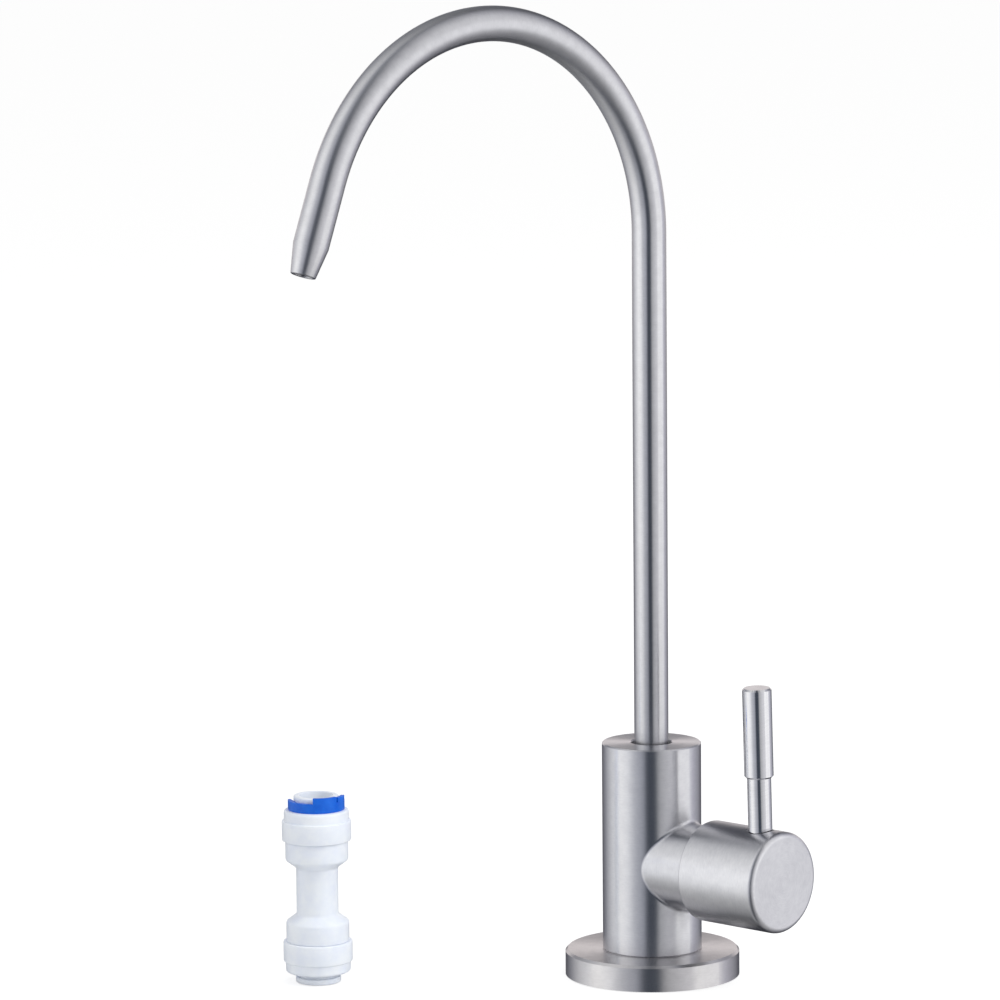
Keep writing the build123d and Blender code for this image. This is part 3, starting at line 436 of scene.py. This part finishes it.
# Grain sizes in millimetres. A real brushed finish has lines 0.05 mm apart; they are drawn coarser so that
# they show
brushedGrain = {"pitch": 0.35, "length": 1.6, "depth": 0.001, "cloud": 2.6}
fineGrain = {"pitch": 0.3, "length": 6.0, "depth": 0.0015, "cloud": 3.0}
metals = {
    # Stainless steel brushed round on a lathe: soft bands that stay crisp sideways and blur along the axis
    "brushedStainlessBody": {
        "colour": "#e0e0e2", "darker": "#d6d6d9", "roughness": 0.31, "spread": 0.85, "grain": brushedGrain,
        "neck": bodyNeck,
    },
    "brushedStainlessFlange": {
        "colour": "#e2e0e0", "darker": "#d8d6d6", "roughness": 0.3, "spread": 0.8, "grain": brushedGrain,
    },
    "brushedStainlessCap": {
        "colour": "#e0e0e2", "darker": "#d3d3d6", "roughness": 0.33, "spread": 0.4, "grain": brushedGrain,
        "centre": valveCentre, "turn": valveTurn,
    },
    # Drawn stainless tube brushed round with a belt: the bands follow the bend and blur along it
    "beltedStainlessTube": {
        "colour": "#e4e4e6", "darker": "#dadadc", "roughness": 0.3, "spread": 0.9, "grain": brushedGrain,
        "tubeMap": spoutMap,
    },
    # Finely turned stainless bar: nearly mirror bright
    "turnedStainlessLever": {
        "colour": "#e6e6e8", "darker": "#dcdcde", "roughness": 0.12, "spread": 0.3, "grain": fineGrain,
        "centre": leverFoot,
    },
    # Stainless steel left as it came off the lathe: greyer and satin
    "turnedStainless": {
        "colour": "#d2d2d4", "darker": "#bfbfc2", "roughness": 0.32, "spread": 0.5, "grain": brushedGrain,
    },
    # Machined brass: warm yellow with turning marks
    "turnedBrass": {
        "colour": "#d8b878", "darker": "#c4a060", "roughness": 0.32, "spread": 0.5, "grain": brushedGrain,
        "centre": valveCentre, "turn": valveTurn,
    },
}
mouldings = {
    # Moulded nitrile rubber: nearly black and dull, with a faint grey bloom
    "mouldedNitrileRubber": {
        "colour": "#161618", "paler": "#232326", "roughness": 0.62, "ior": 1.52,
        "grain": {"size": 0.3, "depth": 0.01, "cloud": 4.0},
    },
    # Lapped alumina ceramic: warm off-white with a fine even sheen
    "lappedAluminaCeramic": {
        "colour": "#e6e2d8", "paler": "#efece4", "roughness": 0.28, "ior": 1.76,
        "grain": {"size": 0.2, "depth": 0.001, "cloud": 1.5},
    },
    # Moulded white acetal: cool milky white, soft highlights, lets a little light in
    "mouldedWhiteAcetal": {
        "colour": "#eaf0fd", "paler": "#f2f7ff", "roughness": 0.38, "ior": 1.48, "glow": 0.25,
        "grain": {"size": 0.5, "depth": 0.004, "cloud": 5.0},
    },
    # Moulded blue acetal: strong even blue with a satin skin
    "mouldedBlueAcetal": {
        "colour": "#005fd6", "paler": "#0e6ce0", "roughness": 0.36, "ior": 1.48, "glow": 0.1, "shine": 0.35,
        "grain": {"size": 0.5, "depth": 0.004, "cloud": 3.0},
    },
    # Moulded black nylon: dark and dull
    "mouldedBlackNylon": {
        "colour": "#1c1c1e", "paler": "#26262a", "roughness": 0.5, "ior": 1.53,
        "grain": {"size": 0.4, "depth": 0.006, "cloud": 3.0},
    },
}
finishes = {name: turnedMetal(name, **values) for name, values in metals.items()}
finishes.update({name: mouldedFinish(name, **values) for name, values in mouldings.items()})
slotFinishes = {
    "brushed_steel": "brushedStainlessBody", "satin_steel": "turnedStainless", "brass": "turnedBrass",
    "rubber": "mouldedNitrileRubber", "ceramic": "lappedAluminaCeramic",
    "white_plastic": "mouldedWhiteAcetal", "blue_plastic": "mouldedBlueAcetal",
    "black_plastic": "mouldedBlackNylon",
}
nodeFinishes = {
    "base_flange": "brushedStainlessFlange", "handle_cap": "brushedStainlessCap",
    "lever_pin": "turnedStainlessLever", "lever_sleeve": "turnedStainlessLever",
}
for part in frame["record"]["subparts"]:
    finish = nodeFinishes.get(part["node"], slotFinishes[part["material_slot"]])
    piece = nodes[part["node"]]
    piece.data.materials.clear()
    piece.data.materials.append(finishes[finish])
print("finishes made:", len(finishes))


def roundCorners(outline, steps=4):
    # Corners of (height, radius, rounding) in millimetres become points of (height, radius) in metres
    path = []
    for index, (height, radius, rounding) in enumerate(outline):
        corner = Vector((height, radius))
        if not rounding:
            path.append(corner / 1000)
            continue
        before = (Vector(outline[index - 1][:2]) - corner).normalized()
        after = (Vector(outline[(index + 1) % len(outline)][:2]) - corner).normalized()
        half = before.angle(after) / 2
        middle = corner + (before + after).normalized() * rounding / math.sin(half)
        first = corner + before * rounding / math.tan(half) - middle
        last = corner + after * rounding / math.tan(half) - middle
        for step in range(steps + 1):
            path.append((middle + first.slerp(last, step / steps) * rounding) / 1000)
    return path


def turnPiece(name, outlines, sides):
    # A round piece on the upright axis through the origin: each closed outline starts as one circle, which
    # is extruded from point to point and then joined to its own start
    bpy.ops.object.select_all(action="DESELECT")
    bpy.ops.mesh.primitive_circle_add(vertices=sides, radius=outlines[0][0][1] / 1000, location=(0, 0, 0))
    piece = bpy.context.object
    piece.name = name
    bpy.ops.object.mode_set(mode="EDIT")
    bpy.ops.mesh.select_mode(type="EDGE")
    bpy.ops.mesh.select_all(action="SELECT")
    bpy.ops.mesh.delete(type="VERT")  # its circles are all added in edit mode, so that they stay one piece
    for outline in outlines:
        path = roundCorners(outline)
        here = path[0]
        bpy.ops.mesh.primitive_circle_add(vertices=sides, radius=here.y, location=(0, 0, here.x))
        for ahead in path[1:]:
            bpy.ops.mesh.extrude_region_move(TRANSFORM_OT_translate={"value": (0, 0, ahead.x - here.x)})
            grow = ahead.y / here.y
            bpy.ops.transform.resize(value=(grow, grow, 1), center_override=(0, 0, ahead.x))
            here = ahead
        bpy.ops.mesh.select_all(action="DESELECT")
        bpy.ops.mesh.select_non_manifold()
        bpy.ops.mesh.bridge_edge_loops()
    bpy.ops.mesh.select_all(action="SELECT")
    bpy.ops.mesh.normals_make_consistent(inside=False)
    bpy.ops.object.mode_set(mode="OBJECT")
    return piece


def cutSlot(piece, middle, size, turn=0.0):
    # Takes a box out of a piece
    bpy.ops.object.select_all(action="DESELECT")
    bpy.ops.mesh.primitive_cube_add(size=1, location=middle, rotation=(0, 0, turn), scale=size)
    cutter = bpy.context.object
    bpy.ops.object.select_all(action="DESELECT")
    piece.select_set(True)
    bpy.context.view_layer.objects.active = piece
    bpy.ops.object.modifier_add(type="BOOLEAN")
    slot = piece.modifiers[-1]
    slot.operation = "DIFFERENCE"
    slot.solver = "EXACT"
    slot.object = cutter
    bpy.ops.object.modifier_apply(modifier=slot.name)
    bpy.data.objects.remove(cutter)


def roundEdges(piece, width, sharpest):
    # Rounds the edges that turn by more than an angle, in metres and degrees
    bpy.ops.object.modifier_add(type="BEVEL")
    rounding = piece.modifiers[-1]
    rounding.width = width
    rounding.segments = 3
    rounding.limit_method = "ANGLE"
    rounding.angle_limit = math.radians(sharpest)
    bpy.ops.object.modifier_apply(modifier=rounding.name)


def standPiece(piece, place, turn, finish, body, replaced, smooth=35):
    # Moves a piece from the origin to its place, smooths it up to an angle in degrees, and says what it is
    # made of, what carries it and what it stands for
    piece.location = place
    piece.rotation_euler.z = turn
    bpy.ops.object.transform_apply(location=True, rotation=True, scale=True)
    bpy.ops.object.shade_smooth_by_angle(angle=math.radians(smooth))
    piece.data.materials.append(finishes[finish])
    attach(piece, body)
    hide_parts(replaced)


# Spout: drawn tube with one wide bend, its end drawn in to the outlet
spout = {
    "radius": spoutMap["radius"],
    "wall": 0.0009,
    "bendStart": 0.2135,
    "bendRadius": 0.0613,
    "bendTurn": math.radians(159.7),
    "straight": 0.0176,
    "taper": 0.0084,
    "outletRadius": 0.00345,
    "lip": 0.00025,
    "lipAngle": 50,
    "smooth": 40,
    "heading": math.radians(-95.3),
    "sides": 80,
    "bendSteps": 96,
    "mergeWithin": 0.00001,
}
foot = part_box("spout_tube")[0][2]
bendStart, bendRadius, bendTurn = spout["bendStart"], spout["bendRadius"], spout["bendTurn"]
bpy.ops.object.select_all(action="DESELECT")
bpy.ops.mesh.primitive_circle_add(vertices=spout["sides"], radius=spout["radius"], location=(0, 0, foot))
spoutTube = bpy.context.object
spoutTube.name = "spoutTube"
bpy.ops.object.transform_apply(location=True, rotation=False, scale=False)
bpy.ops.object.mode_set(mode="EDIT")
bpy.ops.mesh.select_mode(type="EDGE")
bpy.ops.mesh.select_all(action="SELECT")
bpy.ops.mesh.extrude_region_move(TRANSFORM_OT_translate={"value": (0, 0, bendStart - foot)})
bendCentre = Vector((bendRadius, 0, bendStart))
bpy.ops.mesh.spin(steps=spout["bendSteps"], angle=-bendTurn, center=bendCentre, axis=(0, 1, 0))
bendEnd = bendCentre + bendRadius * Vector((-math.cos(bendTurn), 0, math.sin(bendTurn)))
outletWay = Vector((math.sin(bendTurn), 0, math.cos(bendTurn)))
bpy.ops.mesh.extrude_region_move(TRANSFORM_OT_translate={"value": outletWay * spout["straight"]})
bpy.ops.mesh.extrude_region_move(TRANSFORM_OT_translate={"value": outletWay * spout["taper"]})
drawIn = spout["outletRadius"] / spout["radius"]
bpy.ops.transform.resize(value=(drawIn, drawIn, drawIn),
                         center_override=bendEnd + outletWay * (spout["straight"] + spout["taper"]))
bpy.ops.mesh.select_all(action="SELECT")
bpy.ops.mesh.remove_doubles(threshold=spout["mergeWithin"])
bpy.ops.mesh.normals_make_consistent(inside=False)
bpy.ops.object.mode_set(mode="OBJECT")
bpy.ops.object.modifier_add(type="SOLIDIFY")
wall = spoutTube.modifiers[-1]
wall.thickness = spout["wall"]
wall.offset = -1
wall.use_even_offset = True
bpy.ops.object.modifier_apply(modifier=wall.name)
roundEdges(spoutTube, spout["lip"], spout["lipAngle"])


def tubePlace(point):
    # How far round the tube, as a share of a turn, and how far along it a point lies
    if point.z <= bendStart and point.x < bendRadius:
        return math.atan2(point.y, -point.x) / (2 * math.pi), point.z
    fromCentre = point - bendCentre
    turn = math.atan2(fromCentre.z, -fromCentre.x)
    if 0 <= turn <= bendTurn:
        inward = bendRadius - math.hypot(fromCentre.x, fromCentre.z)
        return math.atan2(point.y, -inward) / (2 * math.pi), bendStart + bendRadius * turn
    past = (point - bendEnd).dot(outletWay)
    inward = (point - bendEnd).dot(Vector((-outletWay.z, 0, outletWay.x)))
    return math.atan2(point.y, inward) / (2 * math.pi), bendStart + bendRadius * bendTurn + past


rolledMap = spoutTube.data.uv_layers.new(name=spoutMap["map"])
for polygon in spoutTube.data.polygons:
    middle = tubePlace(polygon.center)[0]
    for loop in polygon.loop_indices:
        vertex = spoutTube.data.vertices[spoutTube.data.loops[loop].vertex_index]
        share, length = tubePlace(vertex.co)
        rolledMap.data[loop].uv = (share + round(middle - share), length)
standPiece(spoutTube, (0, 0, 0), spout["heading"], "beltedStainlessTube", "spout", "spout_tube",
           spout["smooth"])
print("spout modelled")

# Push-fit connector: a moulded union with a slim waist and a banded cap on each end. Each outline is
# (distance from its middle, radius, rounding) in millimetres
connector = {
    "place": Vector((-0.0659, -0.07, 0.0266)),
    "heading": math.radians(-26),
    "sides": 96,
    "union": [
        (2.5, 4.845, 0), (2.5, 3.4, 0), (-2.5, 3.4, 0), (-2.5, 4.845, 0), (-11.1, 4.845, 0), (-11.1, 6.9, 0),
        (-18.2, 6.9, 0.2), (-18.2, 8.2, 0.2), (-14.6, 8.2, 0), (-14.6, 9.0, 0.2), (-8.95, 9.0, 1.0),
        (-6.75, 6.0, 1.0), (6.75, 6.0, 1.0), (8.95, 9.0, 1.0), (14.6, 9.0, 0.2), (14.6, 8.2, 0),
        (18.2, 8.2, 0.2), (18.2, 6.9, 0.2), (11.1, 6.9, 0), (11.1, 4.845, 0),
    ],
    "cap": [
        (18.23, 6.9, 0), (18.23, 8.23, 0), (14.63, 8.23, 0.2), (14.63, 9.9, 0.35), (20.5, 9.9, 0.35),
        (20.5, 9.3, 0.1), (23.6, 9.3, 0.8), (23.6, 6.0, 0.3), (21.8, 6.0, 0), (21.0, 6.9, 0),
    ],
}
union = turnPiece("connectorUnion", [connector["union"]], connector["sides"])
standPiece(union, connector["place"], 0, "mouldedWhiteAcetal", "connector", "connector_body")
flippedCap = [(-height, radius, rounding) for height, radius, rounding in connector["cap"]]
endCaps = turnPiece("connectorEndCaps", [connector["cap"], flippedCap], connector["sides"])
standPiece(endCaps, connector["place"], 0, "mouldedWhiteAcetal", "connector", "connector_end_caps")
print("connector modelled")

# Collets: a flange to press, and a barbed sleeve split into four fingers. The outline's heights are from the
# flange's underside, and upper and lower are its distances from the connector's middle
collet = {
    "outline": [
        (-6.43, 4.875, 0), (-7.2, 4.875, 0), (-7.2, 5.65, 0), (-6.4, 6.55, 0), (-5.6, 6.55, 0),
        (-5.6, 5.65, 0), (0, 5.65, 0), (0, 6.45, 0.2), (1.6, 6.45, 0.35), (1.6, 4.875, 0.15),
        (-5.87, 4.875, 0), (-5.87, 5.325, 0), (-6.43, 5.325, 0),
    ],
    "slotSize": (0.0138, 0.001, 0.0088),
    "slotFoot": -0.0072,  # the sleeve's foot, on which each cutting box is centred
    "slotTurns": (0, math.pi / 2),
    "upper": 0.02606,
    "lower": 0.025,
}
for name, side, level, body, node in (("upperCollet", 1, collet["upper"], "connector", "upper_collet"),
                                      ("lowerCollet", -1, collet["lower"], "free_collet", "lower_collet")):
    outline = [(side * height, radius, rounding) for height, radius, rounding in collet["outline"]]
    piece = turnPiece(name, [outline], connector["sides"])
    for turn in collet["slotTurns"]:
        cutSlot(piece, (0, 0, side * collet["slotFoot"]), collet["slotSize"], turn)
    standPiece(piece, connector["place"] + Vector((0, 0, side * level)), connector["heading"],
               "mouldedWhiteAcetal", body, node)
print("collets modelled")

# Locking clip: a ring open at the back under the collet's flange, with a low rim, a pull tab and a small lug.
# Each of these is (from, to, rise): two angles in degrees, the rim's a little past the full turn, and metres
clip = {
    "level": 0.02363,
    "outline": [(0, 6.0, 0), (0, 8.1, 0), (2.4, 8.1, 0), (2.4, 7.0, 0), (2.4, 6.0, 0)],
    "height": 0.0024,
    "rimInner": 0.007,
    "rim": (-181, 181, 0.0003),
    "tab": (-26.3, 26.3, 0.0017),
    "lug": (29.9, 63.9, 0.0014),
    "mouth": (0.009, 0.012, 0.02),
    "upperMouth": (0.009, 0.014, 0.01),
    "edge": 0.00013,
    "edgeAngle": 40,
    "levelWithin": 0.00001,
    "facingUp": 0.9,
}


def raiseSector(piece, level, sector):
    # Draws up the rim's flat faces at one level and between two angles
    lowest, highest, rise = sector
    bpy.ops.object.mode_set(mode="EDIT")
    bpy.ops.mesh.select_mode(type="FACE")
    bpy.ops.mesh.select_all(action="DESELECT")
    bpy.ops.object.mode_set(mode="OBJECT")
    for polygon in piece.data.polygons:
        middle = polygon.center
        angle = math.degrees(math.atan2(middle.y, middle.x))
        polygon.select = (abs(middle.z - level) < clip["levelWithin"] and lowest < angle < highest
                          and math.hypot(middle.x, middle.y) > clip["rimInner"]
                          and polygon.normal.z > clip["facingUp"])
    bpy.ops.object.mode_set(mode="EDIT")
    bpy.ops.mesh.extrude_region_move(TRANSFORM_OT_translate={"value": (0, 0, rise)})
    bpy.ops.object.mode_set(mode="OBJECT")


lockingClip = turnPiece("lockingClip", [clip["outline"]], connector["sides"])
raiseSector(lockingClip, clip["height"], clip["rim"])
rimTop = clip["height"] + clip["rim"][2]
for sector in (clip["tab"], clip["lug"]):
    raiseSector(lockingClip, rimTop, sector)
cutSlot(lockingClip, (-clip["mouth"][0] / 2, 0, 0), clip["mouth"])
cutSlot(lockingClip, (-clip["upperMouth"][0] / 2, 0, clip["height"] + clip["upperMouth"][2] / 2),
        clip["upperMouth"])
roundEdges(lockingClip, clip["edge"], clip["edgeAngle"])
standPiece(lockingClip, connector["place"] + Vector((0, 0, clip["level"])), connector["heading"],
           "mouldedBlueAcetal", "clip", "collet_clip")
print("clip modelled")

# Shank: a hollow stud with one real helical thread, and the plain stub that goes into a push-fit connector
shank = {
    "tip": 0.0187,
    "threadFoot": -0.0515,
    "stubFoot": -0.0715,
    "pitch": 0.0015,
    "flank": 3 / 8,  # of the pitch, on each side of the crest
    "crestWidth": 1 / 4,  # of the pitch
    "root": 0.0052,
    "crest": 0.006,
    "bore": 0.0032,
    "stub": 0.004765,
    "stubChamfer": 0.0008,
    "sides": 48,
    "spareTurns": 2.3,  # wound past each end, and cut off again
    "mergeWithin": 0.000005,
    "cutWithin": 0.000001,
}


def cutThread(level, **side):
    # Cuts the whole piece at one height, and clears one side of the cut
    bpy.ops.mesh.select_all(action="SELECT")
    bpy.ops.mesh.bisect(plane_co=(0, 0, level), plane_no=(0, 0, 1), threshold=shank["cutWithin"], **side)


def selectLevel(piece, level):
    # Selects the edges that lie at one height
    bpy.ops.mesh.select_mode(type="VERT")
    bpy.ops.mesh.select_all(action="DESELECT")
    bpy.ops.object.mode_set(mode="OBJECT")
    for vertex in piece.data.vertices:
        vertex.select = abs(vertex.co.z - level) < shank["cutWithin"]
    bpy.ops.object.mode_set(mode="EDIT")
    bpy.ops.mesh.select_mode(type="EDGE")


pitch = shank["pitch"]
depth = shank["crest"] - shank["root"]
flank = shank["flank"] * pitch
bpy.ops.object.select_all(action="DESELECT")
bpy.ops.mesh.primitive_plane_add(size=pitch, location=(0, 0, 0))
threadedShank = bpy.context.object
threadedShank.name = "threadedShank"
bpy.ops.object.mode_set(mode="EDIT")
bpy.ops.mesh.select_mode(type="VERT")
bpy.ops.mesh.select_all(action="SELECT")
bpy.ops.mesh.merge(type="CENTER")  # one point is left, from which the thread's profile is drawn
bpy.ops.transform.translate(value=(shank["root"], 0, shank["threadFoot"] - shank["spareTurns"] * pitch))
for step in ((depth, 0, flank), (0, 0, shank["crestWidth"] * pitch), (-depth, 0, flank)):
    bpy.ops.mesh.extrude_region_move(TRANSFORM_OT_translate={"value": step})
bpy.ops.object.mode_set(mode="OBJECT")
bpy.ops.object.modifier_add(type="SCREW")
winding = threadedShank.modifiers[-1]
winding.axis = "Z"
winding.angle = 2 * math.pi
winding.screw_offset = pitch
winding.iterations = math.ceil((shank["tip"] - shank["threadFoot"]) / pitch + 2 * shank["spareTurns"])
winding.steps = shank["sides"]
winding.render_steps = shank["sides"]
bpy.ops.object.modifier_apply(modifier=winding.name)
bpy.ops.object.mode_set(mode="EDIT")
bpy.ops.mesh.select_all(action="SELECT")
bpy.ops.mesh.remove_doubles(threshold=shank["mergeWithin"])
cutThread(shank["threadFoot"], clear_inner=True)
cutThread(shank["tip"], clear_outer=True)
bpy.ops.mesh.select_all(action="DESELECT")
bpy.ops.mesh.select_mode(type="EDGE")
bpy.ops.mesh.primitive_circle_add(vertices=shank["sides"], radius=shank["bore"],
                                  location=(0, 0, shank["tip"]))
bpy.ops.mesh.extrude_region_move(TRANSFORM_OT_translate={"value": (0, 0, shank["stubFoot"] - shank["tip"])})
radius = shank["bore"]
for rise, wider in ((0, shank["stub"] - shank["stubChamfer"]), (shank["stubChamfer"], shank["stub"]),
                    (shank["threadFoot"] - shank["stubFoot"] - shank["stubChamfer"], shank["stub"])):
    bpy.ops.mesh.extrude_region_move(TRANSFORM_OT_translate={"value": (0, 0, rise)})
    bpy.ops.transform.resize(value=(wider / radius, wider / radius, 1), center_override=(0, 0, 0))
    radius = wider
for level in (shank["tip"], shank["threadFoot"]):
    selectLevel(threadedShank, level)
    bpy.ops.mesh.fill(use_beauty=True)
bpy.ops.mesh.select_all(action="SELECT")
bpy.ops.mesh.normals_make_consistent(inside=False)
bpy.ops.object.mode_set(mode="OBJECT")
standPiece(threadedShank, (0, 0, 0), 0, "turnedStainless", "tap", "threaded_shank")
print("shank modelled")
